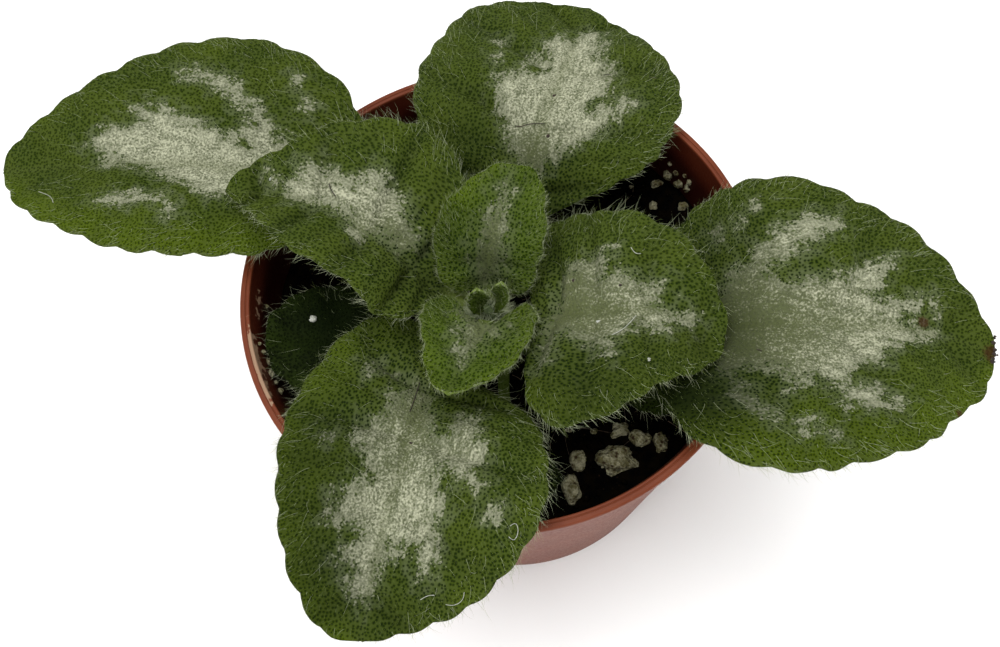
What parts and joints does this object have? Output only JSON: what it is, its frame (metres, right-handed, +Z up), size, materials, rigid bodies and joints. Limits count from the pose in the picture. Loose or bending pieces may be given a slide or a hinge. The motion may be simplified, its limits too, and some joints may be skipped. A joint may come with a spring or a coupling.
{
  "type": "potted primulina plant",
  "caption": "Young primulina rosette of hairy, scalloped, silver-marked leaves growing in a small round plastic nursery pot filled with soil.",
  "frame": {"origin": "centre of the pot's flat underside", "axes": "+Z up, along the pot's axis; -Y towards the picture's viewer; +X to the viewer's right"},
  "size_m": [0.1191, 0.0842, 0.061],
  "materials": {
    "pot_plastic": "satin",
    "soil": "matte",
    "crown": "matte",
    "leaf_mature": "matte",
    "leaf_young": "matte",
    "leaf_shaded": "matte"
  },
  "bodies": {
    "root": {"pot": "pot_plastic", "soil": "soil", "crown": "crown", "leaf_left": "leaf_mature", "leaf_mid_left": "leaf_mature", "leaf_back": "leaf_mature", "leaf_right": "leaf_mature", "leaf_mid_right": "leaf_mature", "leaf_front": "leaf_mature", "leaf_top_back": "leaf_young", "leaf_top_front": "leaf_young", "leaf_old": "leaf_shaded", "leaf_low_right": "leaf_shaded", "leaf_low_front": "leaf_shaded", "leaf_bud_left": "leaf_young", "leaf_bud_right": "leaf_young"}
  },
  "joints": []
}
